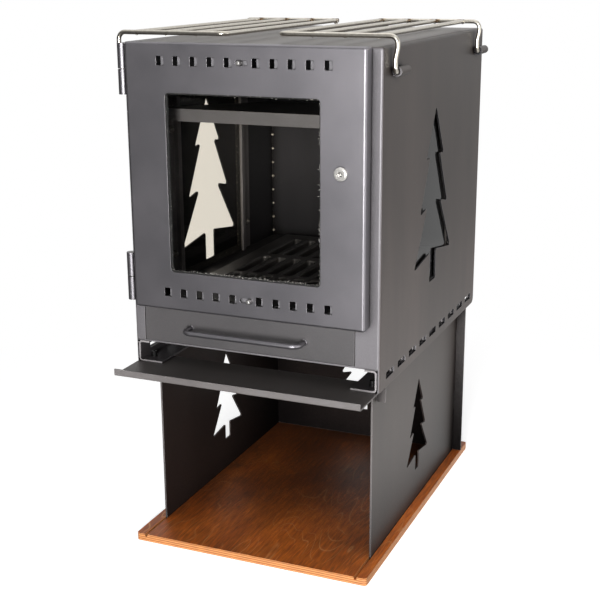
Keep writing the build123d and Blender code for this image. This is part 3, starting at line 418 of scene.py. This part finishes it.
rightwards, upwards = Vector((1, 0, 0)), Vector((0, 0, 1))
low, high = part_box("flue_collar")
flange_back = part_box("flue_flange")[1][1]
collar_radius = (high[0] - low[0]) / 2
collar_centre = Vector(((low[0] + high[0]) / 2, flange_back, (low[2] + high[2]) / 2))
grown(
    "flue_collar_weld", [circle(collar_centre, rightwards, upwards, collar_radius, 80)],
    weld_tree, body_coat, "stove", "coated_steel", Pitch=0.0013, Radius=0.0014,
)

# Inside, a row of bare spot welds holds the back plate to each side.
spots_from_floor, spots_from_top = 0.05, 0.09
spot_inset, spot_rise = 0.0012, 0.0005
low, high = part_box("casing_back")
y = low[1] - spot_rise
spots = [
    line((x, y, low[2] + spots_from_floor), (x, y, high[2] - spots_from_top))
    for x in (low[0] + spot_inset, high[0] - spot_inset)
]
bare_weld, tree, output = new_material("Bare steel spot weld")
ripple = noise(tree, place(tree), 900.0, detail=2.0)
surface(tree, output, {
    "Base Color": ramp(tree, ripple, (0.3, "#8d8579"), (0.7, "#d6d1c8")), "Metallic": 0.7, "Roughness": 0.35,
})
grown("back_spot_welds", spots, weld_tree, bare_weld, "stove", "bare_stainless", Pitch=0.019, Radius=0.002)

# Glass of the door and the sides: clear glass ceramic, 4 mm, with ground edges.
# It is faintly warm in the mass and carries a thin haze from use.
glass, tree, output = new_material("Clear glass ceramic")
smudge = noise(tree, place(tree), 30.0, detail=2.0)
gloss = add(tree, "ShaderNodeBsdfGlossy", {
    "Color": linear("#ffffff"), "Roughness": remap(tree, smudge, 0.0, 1.0, 0.0, 0.03),
})
clear = add(tree, "ShaderNodeBsdfTransparent", {"Color": linear("#faf8f4")})
fresnel = add(tree, "ShaderNodeFresnel", {"IOR": 1.5})
outer_face = maths(tree, "SUBTRACT", 1.0, add(tree, "ShaderNodeNewGeometry").outputs["Backfacing"])
shine = maths(tree, "MULTIPLY", fresnel.outputs[0], outer_face)
mixed = add(tree, "ShaderNodeMixShader", {0: shine, 1: clear.outputs[0], 2: gloss.outputs[0]})
tree.links.new(mixed.outputs[0], output.inputs["Surface"])
finish_with(glass, "door_glass", "side_glass_left", "side_glass_right")

# Gaskets under the glass: flat woven glass-fibre tape, dark grey.
# Its cut inner edge frays into single light fibres that show round the door's window.
fibre, tree, output = new_material("Woven glass-fibre tape")
weave = add(tree, "ShaderNodeTexVoronoi", {"Vector": place(tree), "Scale": 900.0}).outputs["Distance"]
loose = noise(tree, place(tree), 500.0, detail=3.0, roughness=0.7)
colour = ramp(tree, loose, (0.45, "#0c0c0b"), (0.62, "#232221"), (0.72, "#b8b3aa"))
bump = add(tree, "ShaderNodeBump", {"Height": weave, "Strength": 0.8, "Distance": 0.0005})
surface(tree, output, {"Base Color": colour, "Roughness": 0.9, "Normal": bump.outputs[0]})
finish_with(fibre, "door_glass_gasket", "side_glass_gaskets")

# Bare glass fibre is almost white and catches the light from any side.
bare_fibre, tree, output = new_material("Bare glass fibre")
surface(tree, output, {"Base Color": linear("#cbc7c0"), "Roughness": 0.5})

# A frayed edge is a row of short bent fibres that point any way; only a share of them is kept.
fray_tree, given = new_geometry_tree("frayed_fibres", "Spacing", "Length", "Share")
roots = points_along(fray_tree, given["Geometry"], given["Spacing"])
bent = add(fray_tree, "GeometryNodeCurveQuadraticBezier", {
    "Resolution": 4, "Start": (0, 0, 0), "Middle": (0.5, 0, 0.4), "End": (1, 0, 0),
})
thin = add(fray_tree, "GeometryNodeCurvePrimitiveCircle", {"Resolution": 3, "Radius": 0.07})
strand = add(fray_tree, "GeometryNodeCurveToMesh", {
    "Curve": bent.outputs[0], "Profile Curve": thin.outputs[0], "Fill Caps": True,
})
chance = {"Probability": given["Share"], "Seed": 3}
kept = add(fray_tree, "FunctionNodeRandomValue", chance, data_type="BOOLEAN").outputs[3]
turns = {0: (-3.1, -3.1, -3.1), 1: (3.1, 3.1, 3.1), "Seed": 5}
any_way = add(fray_tree, "FunctionNodeRandomValue", turns, data_type="FLOAT_VECTOR").outputs[0]
lengths = {2: 0.3, 3: 1.0, "Seed": 11}
long_or_short = add(fray_tree, "FunctionNodeRandomValue", lengths, data_type="FLOAT").outputs[1]
strands = add(fray_tree, "GeometryNodeInstanceOnPoints", {
    "Points": roots, "Selection": kept, "Instance": strand.outputs[0], "Rotation": any_way,
    "Scale": maths(fray_tree, "MULTIPLY", given["Length"], long_or_short),
})
finish_tree(fray_tree, strands.outputs[0], given["Material"])

low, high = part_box("door_glass_gasket")
tape_width = 0.0135
fray_depth = 0.0006
x0, x1 = low[0] + tape_width, high[0] - tape_width
z0, z1 = low[2] + tape_width, high[2] - tape_width
y = low[1] + fray_depth
for name, ends, share in (
    ("bottom", ((x0, y, z0), (x1, y, z0)), 0.75), ("right", ((x1, y, z0), (x1, y, z1)), 0.6),
    ("top", ((x0, y, z1), (x1, y, z1)), 0.12), ("left", ((x0, y, z0), (x0, y, z1)), 0.08),
):
    grown(
        f"window_fray_{name}", [line(*ends)], fray_tree, bare_fibre, "door", "glass_fibre",
        Spacing=0.0007, Length=0.0024, Share=share,
    )

# Door: a pressed pan of coated sheet with its window and vents, and welded hinge barrels.
# What its coat is made of isn't known; it shines more like metal than that of the sides.
# Its corners, vent edges and the gap at its rim take painted shade.
front_coat = coated_steel(
    "Satin silicone coating, front", ("#7b797d", "#888589"), sheen=0.43, metallic=0.94, shade=0.02,
)
sill_coat = coated_steel("Satin silicone coating, sill and drawer", ("#605e5f", "#6b6869"), metallic=0.65)
finish_with(front_coat, "door_panel", "hinge_lower_halves", "hinge_upper_halves", "drawer_handle")
finish_with(sill_coat, "front_sill", "drawer_front", "drawer_tray")
finish_with(smoked_coat, "door_glass_clips", "seal_channel", "slide_rails")

# Two beads hold each barrel: the upper halves to the door, the lower halves to the body.
barrel_length, barrel_radius = 0.027, 0.0055
bead_apart, bead_short = 0.0025, 0.002
door_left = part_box("door_panel")[0][0]
upper_low, upper_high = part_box("hinge_upper_halves")
lower_low, lower_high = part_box("hinge_lower_halves")
uppers, lowers = [], []
for foot in (upper_high[2] - barrel_length, upper_low[2]):
    for side in (-1, 1):
        run = (door_left, upper_low[1] + barrel_radius + side * bead_apart)
        uppers.append(line((*run, foot + barrel_length - bead_short), (*run, foot + bead_short)))
for foot in (lower_low[2], lower_high[2] - barrel_length):
    for side in (-1, 1):
        run = (lower_low[0] + barrel_radius + side * bead_apart, lower_high[1])
        lowers.append(line((*run, foot + bead_short), (*run, foot + barrel_length - bead_short)))
for name, beads, body in (("hinge_upper_welds", uppers, "door"), ("hinge_lower_welds", lowers, "stove")):
    grown(name, beads, weld_tree, front_coat, body, "coated_steel", Pitch=0.0012, Radius=0.0013)

# Air slides: thin coated plates behind the vents, with a zinc-plated domed pin each.
# Their coat is duller than the door's, and the shade of the vents' edges is painted dark into its colour.
slide_coat, tree, output = new_material("Dull silicone coating, air slides")
sand = noise(tree, place(tree), 1 / fine_grain, detail=2.0, roughness=0.7)
# Painted shade: darker where the vents' edges close in.
shaded = ramp(tree, openness(tree, 0.004), (0.25, "#0b0a0b"), (0.75, "#6a686b"))
colour = mix_colours(tree, 0.25, shaded, ramp(tree, sand, (0.3, "#3c3c3c"), (0.7, "#c4c4c4")), "OVERLAY")
surface(tree, output, {"Base Color": colour, "Roughness": 0.6, "Metallic": 0.2})
finish_with(slide_coat, "upper_air_slide", "lower_air_slide")

zinc, tree, output = new_material("Zinc plating, turned")
marks = noise(tree, place(tree), 600.0, detail=2.0)
surface(tree, output, {
    "Base Color": ramp(tree, marks, (0.3, "#8f8d8b"), (0.7, "#a9a7a4")), "Metallic": 0.9, "Roughness": 0.42,
})
finish_with(
    zinc, "upper_slide_pin", "lower_slide_pin", "side_clamp_studs", "side_clamp_nuts", "door_clip_studs",
    "door_clip_nuts", "hinge_pins", "flue_rivets",
)

# Door seal: a round glass-fibre rope, braided from dark yarns.
# It is pressed into the channel behind the door's rim and shows in the gap.
rope_bend = 0.0077
path_step = 0.0009
yarn_pitch = 0.0072


def smooth_loop(points, radius, step):
    """Points along a closed rectangle with rounded corners, evenly spaced."""
    path = []
    count = len(points)
    corner_steps = 6
    for i in range(count):
        before, here, after = points[i - 1], points[i], points[(i + 1) % count]
        in_way = (here - before).normalized()
        out_way = (after - here).normalized()
        start = here - in_way * radius
        centre = start + out_way * radius
        for k in range(corner_steps + 1):
            angle = math.pi / 2 * k / corner_steps
            path.append(centre - out_way * radius * math.cos(angle) + in_way * radius * math.sin(angle))
    evened = []
    for i in range(len(path)):
        first, second = path[i], path[(i + 1) % len(path)]
        pieces = max(1, round((second - first).length / step))
        evened += [first.lerp(second, j / pieces) for j in range(pieces)]
    return evened


def braided_tube(name, path, depth_way, radius, sides, yarns, pitch, material):
    """A closed braided rope: two families of yarns wind round it and cross."""
    relief = 0.07
    vertices, faces = [], []
    run = 0.0
    count = len(path)
    total = sum((path[i] - path[i - 1]).length for i in range(count))
    turns = round(total / pitch)
    for i, here in enumerate(path):
        way = (path[(i + 1) % count] - path[i - 1]).normalized()
        across = way.cross(depth_way).normalized()
        turn = 2 * math.pi * turns * run / total
        for j in range(sides):
            angle = 2 * math.pi * j / sides
            crossing = math.cos(yarns * angle + turn) * math.cos(yarns * angle - turn)
            reach = radius * (1 - relief + relief * crossing)
            vertices.append(here + across * reach * math.cos(angle) + depth_way * reach * math.sin(angle))
        run += (path[(i + 1) % count] - here).length
        for j in range(sides):
            a = i * sides + j
            b = i * sides + (j + 1) % sides
            c = ((i + 1) % count) * sides
            faces.append((a, b, c + (j + 1) % sides, c + j))
    return mesh_object(name, vertices, faces, material)


low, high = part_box("door_rope_seal")
rope_radius = (high[1] - low[1]) / 2
y = (low[1] + high[1]) / 2
left, right = low[0] + rope_radius, high[0] - rope_radius
bottom, top = low[2] + rope_radius, high[2] - rope_radius
corners = [Vector((x, y, z)) for x, z in ((left, bottom), (right, bottom), (right, top), (left, top))]
rope = braided_tube(
    "braided_door_rope", smooth_loop(corners, rope_bend, path_step), Vector((0, 1, 0)), rope_radius,
    sides=20, yarns=4, pitch=yarn_pitch, material=fibre,
)
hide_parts("door_rope_seal")
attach(rope, "door")

# A few of its fibres stand out at both sides of the door.
fray_inset = 0.001
fray_short = 0.01
edges = [
    line((x, y - fray_inset, low[2] + fray_short), (x, y - fray_inset, high[2] - fray_short))
    for x in (high[0] - fray_inset, low[0] + fray_inset)
]
grown(
    "door_rope_fray", edges, fray_tree, bare_fibre, "door", "glass_fibre",
    Spacing=0.0012, Length=0.002, Share=0.4,
)

# Latch: a quarter-turn button lock of zinc, bright nickel plated, with a steel tongue.
# The plating is the brightest metal on the stove.
nickel, tree, output = new_material("Bright nickel plating")
haze = noise(tree, place(tree), 500.0, detail=2.0)
# The key socket is deep, and its shade is painted dark into the plating.
unshaded = remap(tree, openness(tree, 0.004), 0.25, 0.6)
plated = ramp(tree, haze, (0.3, "#d6d3cd"), (0.7, "#e8e6e2"))
surface(tree, output, {
    "Base Color": mix_colours(tree, unshaded, linear("#141312"), plated), "Metallic": 0.72, "Roughness": 0.24,
})
finish_with(nickel, "latch_housing", "latch_housing_nut", "latch_insert")
finish_with(zinc, "latch_cam", "latch_cam_screw")

# Drawer handle: a bent 6 mm rod, welded to the drawer's front at both feet.
# It was coated together with the drawer.
low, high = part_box("drawer_handle")
rod_radius = (high[2] - low[2]) / 2
weld_rise = 0.0002
level = (low[2] + high[2]) / 2
feet = [
    circle(Vector((x, high[1], level)), rightwards, upwards, rod_radius + weld_rise, 24)
    for x in (low[0] + rod_radius, high[0] - rod_radius)
]
grown(
    "drawer_handle_welds", feet, weld_tree, front_coat, "drawer", "coated_steel", Pitch=0.001, Radius=0.0011,
)

# Rack tubes: short coated tubes, welded along the body's sides for the racks to turn in.
# The bead runs under each tube.
finish_with(body_coat, "rack_tubes")
tube_length = 0.031
tube_reach = 0.0098
bead_level = 0.0012
low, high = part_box("rack_tubes")
z = low[2] + bead_level
beads = [
    line((x, start + bead_short, z), (x, start + tube_length - bead_short, z))
    for x in (low[0] + tube_reach, high[0] - tube_reach) for start in (low[1], high[1] - tube_length)
]
grown("rack_tube_welds", beads, weld_tree, body_coat, "stove", "coated_steel", Pitch=0.0013, Radius=0.0013)

# Racks: 5 mm stainless wire, bent cold and welded with small beads at the joints.
# The drawn wire is bright, and only the rear joints kept small brown burns.
wire_pitch = 0.0363
first_bar = 0.027
wire_radius = 0.0025
bar_count = 3
frame_length = 0.321
bar_bead, corner_bead = 0.0005, 0.001
corner_drop = 0.0011
burn_past = 0.0016


def rack_wire(name, side, rear):
    """Drawn stainless wire, browned close to the joints at the rear."""
    made, tree, output = new_material(name)
    from_middle = maths(tree, "MULTIPLY", axis(tree, place(tree), "X"), side)
    from_first = maths(tree, "SUBTRACT", from_middle, first_bar)
    joint = add(tree, "ShaderNodeCombineXYZ", {
        "X": maths(tree, "PINGPONG", from_first, wire_pitch / 2),
        "Y": maths(tree, "SUBTRACT", axis(tree, place(tree), "Y"), rear),
    })
    reach = add(tree, "ShaderNodeVectorMath", {0: joint.outputs[0]}, operation="LENGTH").outputs["Value"]
    blotch = maths(tree, "SUBTRACT", noise(tree, place(tree), 300.0, detail=2.0), 0.5)
    reach = maths(tree, "ADD", reach, maths(tree, "MULTIPLY", blotch, 0.006))
    burnt = remap(tree, reach, 0.002, 0.008, 1.0, 0.0)
    on_bars = maths(tree, "LESS_THAN", from_first, bar_count * wire_pitch + burn_past)
    burnt = maths(tree, "MULTIPLY", burnt, on_bars)
    bands = ramp(tree, burnt, (0.0, "#c6c2ba"), (0.45, "#ab9a83"), (0.75, "#6f5844"), (1.0, "#4a3d33"))
    drawn = noise(tree, place(tree), 260.0, detail=3.0)
    colour = mix_colours(tree, 0.3, bands, ramp(tree, drawn, (0.3, "#6a665f"), (0.7, "#c9c5bd")), "OVERLAY")
    bump = add(tree, "ShaderNodeBump", {"Height": drawn, "Strength": 0.1, "Distance": 0.0002})
    surface(tree, output, {
        "Base Color": colour, "Metallic": 1.0, "Roughness": 0.3, "Normal": bump.outputs[0],
    })
    return made


for side, name in ((1, "right"), (-1, "left")):
    low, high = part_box(f"{name}_rack_frame")
    front = low[1] + wire_radius
    rear = front + frame_length
    level = high[2] - wire_radius
    wire = rack_wire(f"Drawn stainless wire, {name} rack", side, rear)
    finish_with(wire, f"{name}_rack_frame", f"{name}_rack_bars")
    joints = [
        circle(Vector((side * (first_bar + k * wire_pitch), y, level - bar_bead)), rightwards, upwards,
               wire_radius, 24)
        for k in range(1, bar_count + 1) for y in (front + wire_radius, rear - wire_radius)
    ]
    grown(f"{name}_rack_bar_welds", joints, weld_tree, wire, f"{name}_rack", "bare_stainless",
          Pitch=0.0011, Radius=bar_bead)
    corner = Vector((side * first_bar, rear - wire_radius, level - corner_drop))
    grown(f"{name}_rack_corner_weld", [circle(corner, rightwards, upwards, wire_radius, 24)], weld_tree,
          bare_weld, f"{name}_rack", "bare_stainless", Pitch=0.0012, Radius=corner_bead)

# Stage: a white floor that keeps the stove's shadow and fades into a white surround.
# Only the camera, glass and glossy coats see that white; the light comes from soft lamps.
bpy.context.scene.view_settings.view_transform = "Standard"
white = (1, 1, 1, 1)
floor_half = 6.0
white_floor, tree, output = new_material("White floor")
rays = add(tree, "ShaderNodeLightPath").outputs
spot = place(tree)
far = add(tree, "ShaderNodeVectorMath", {0: spot}, operation="LENGTH").outputs["Value"]
# The camera sees brightened paint near the stove, with its shadow, and plain white farther out.
paint = add(tree, "ShaderNodeBsdfDiffuse", {"Color": (0.8, 0.8, 0.8, 1)})
glow = add(tree, "ShaderNodeEmission", {"Color": white, "Strength": 0.7})
near = add(tree, "ShaderNodeAddShader", {0: paint.outputs[0], 1: glow.outputs[0]})
blank = add(tree, "ShaderNodeEmission", {"Color": white, "Strength": 1.0})
reach = {"Value": far, "From Min": 0.3, "From Max": 0.8}
fade = add(tree, "ShaderNodeMapRange", reach, interpolation_type="SMOOTHSTEP")
seen = add(tree, "ShaderNodeMixShader", {0: fade.outputs[0], 1: near.outputs[0], 2: blank.outputs[0]})
plain = add(tree, "ShaderNodeMixShader", {0: rays["Is Camera Ray"], 1: paint.outputs[0], 2: seen.outputs[0]})
# Glossy coats mirror a floor that is dark in front on the left and dims with the distance.
behind = remap(tree, along(tree, spot, (0.8, 1.0, 0.0)), -0.4, 0.3, 0.03, 1.0)
mirrored = maths(tree, "MULTIPLY", behind, remap(tree, far, 0.4, 1.6, 1.0, 0.45))
shown = add(tree, "ShaderNodeEmission", {"Color": white, "Strength": mirrored})
whole = add(tree, "ShaderNodeMixShader", {0: rays["Is Glossy Ray"], 1: plain.outputs[0], 2: shown.outputs[0]})
tree.links.new(whole.outputs[0], output.inputs["Surface"])
corners = [(-floor_half, -floor_half, 0), (floor_half, -floor_half, 0), (floor_half, floor_half, 0),
           (-floor_half, floor_half, 0)]
mesh_object("floor", corners, [(0, 1, 2, 3)], white_floor)

# The surround is white to the camera and through glass, and dim as a light.
# Glossy coats mirror it bright above and at the rear right, dark at the front left.
world = bpy.data.worlds.new("White surround")
bpy.context.scene.world = world
world.use_nodes = True
tree = world.node_tree
tree.nodes.clear()
rays = add(tree, "ShaderNodeLightPath").outputs
way = add(tree, "ShaderNodeTexCoord").outputs["Generated"]
bright = remap(tree, along(tree, way, (0.5, 0.8, 1.4)), -0.5, 1.1, 0.02, 1.0)
dim = add(tree, "ShaderNodeBackground", {"Color": white, "Strength": 0.13})
shown = add(tree, "ShaderNodeBackground", {"Color": white, "Strength": bright})
blank = add(tree, "ShaderNodeBackground", {"Color": white, "Strength": 1.0})
soft = add(tree, "ShaderNodeMixShader", {0: rays["Is Glossy Ray"], 1: dim.outputs[0], 2: shown.outputs[0]})
direct = maths(tree, "MAXIMUM", rays["Is Camera Ray"], rays["Is Transmission Ray"])
whole = add(tree, "ShaderNodeMixShader", {0: direct, 1: soft.outputs[0], 2: blank.outputs[0]})
tree.links.new(whole.outputs[0], add(tree, "ShaderNodeOutputWorld").inputs["Surface"])


def softbox(name, where, target, size, watts):
    """A soft rectangular lamp that is turned towards a point."""
    lamp = bpy.data.lights.new(name, "AREA")
    lamp.shape = "RECTANGLE"
    lamp.size, lamp.size_y = size
    lamp.energy = watts
    made = bpy.data.objects.new(name, lamp)
    made.location = where
    made.rotation_euler = (Vector(target) - Vector(where)).to_track_quat("-Z", "Y").to_euler()
    bpy.context.scene.collection.objects.link(made)


# A tall strip in front lights the door brighter towards its right edge.
softbox("key_lamp", (0.55, -2.4, 0.5), (0, 0, 0.38), (0.42, 1.0), 90)
# One lamp at the right lights the sides; a low one reaches under the shelf.
softbox("right_lamp", (2.2, -0.2, 0.55), (0, 0, 0.2), (1.2, 1.0), 9)
softbox("low_lamp", (1.4, -0.7, 0.1), (0.13, -0.1, 0.15), (0.8, 0.15), 4)
softbox("top_lamp", (0.0, 0.2, 2.0), (0, 0, 0.4), (1.6, 1.6), 7)

# The camera stands in front on the right, a little above the stove's top, as in the photo.
camera = bpy.data.objects.new("camera", bpy.data.cameras.new("camera"))
camera.data.lens = 70.06
camera.data.sensor_width = 36
camera.matrix_world = (
    Matrix.Translation((0.535337, -1.303848, 0.663490))
    @ Matrix.Rotation(math.radians(23.09993), 4, "Z")
    @ Matrix.Rotation(math.radians(74.01268), 4, "X")
    @ Matrix.Rotation(math.radians(-0.32242), 4, "Z")
)
bpy.context.scene.collection.objects.link(camera)
bpy.context.scene.camera = camera
